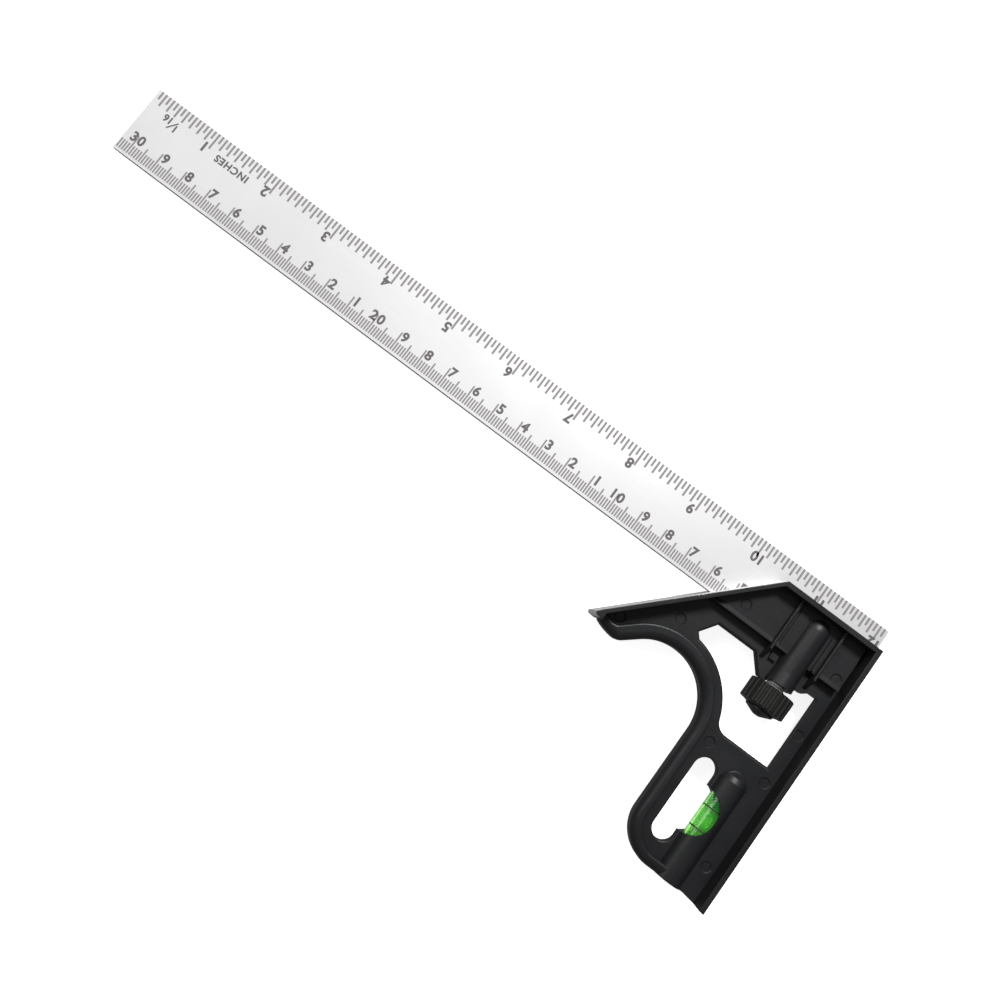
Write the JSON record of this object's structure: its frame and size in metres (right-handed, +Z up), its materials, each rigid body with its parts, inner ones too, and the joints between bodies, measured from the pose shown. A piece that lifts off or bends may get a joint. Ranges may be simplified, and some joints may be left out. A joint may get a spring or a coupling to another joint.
{
  "type": "combination square",
  "caption": "Combination square lying flat: a graduated steel rule slides through a cast stock with square and 45-degree faces, a clamp knob and a spirit level.",
  "frame": {"origin": "middle of the underside of the whole tool's box, lying on its back", "axes": "+X along the rule towards the stock's square face, +Y across the rule from the stock's foot towards its top face, +Z up, out of the tool's front"},
  "size_m": [0.3048, 0.1102, 0.0185],
  "materials": {
    "stock_casting": "satin black paint on a die casting, bare and ground on the square and miter faces",
    "rule_steel": "satin chrome, finely brushed along the rule",
    "clamp_steel": "turned, zinc plated",
    "knob_black": "satin black, fluted",
    "vial_clear": "clear moulded acrylic",
    "vial_green": "clear green liquid",
    "plug_black": "moulded",
    "scale_ink": "etched and filled scale marks and figures"
  },
  "bodies": {
    "stock_body": {"stock": "stock_casting", "clamp_spring": "clamp_steel", "vial_tube": "vial_clear", "vial_liquid": "vial_green", "vial_stopper": "plug_black", "housing_plug": "plug_black"},
    "rule_body": {"rule": "rule_steel"},
    "bolt_body": {"draw_bolt": "clamp_steel"},
    "knob_body": {"knob_insert": "clamp_steel", "clamp_knob": "knob_black"}
  },
  "joints": [
    {"name": "rule_slide", "type": "slide", "parent": "stock_body", "child": "rule_body", "axis": [1, 0, 0], "range_m": [-0.012, 0.26]},
    {"name": "clamp_turn", "type": "hinge", "parent": "stock_body", "child": "knob_body", "pos_m": [0.1318, 0.01145, 0.00925], "axis": [0, -1, 0], "range_deg": [0, 360]},
    {"name": "bolt_slide", "type": "slide", "parent": "stock_body", "child": "bolt_body", "axis": [0, 1, 0], "range_m": [0, 0.00071]}
  ],
  "couplings": [
    {"joint": "bolt_slide", "follows": "clamp_turn", "m_per_rad": 0.00011141}
  ]
}
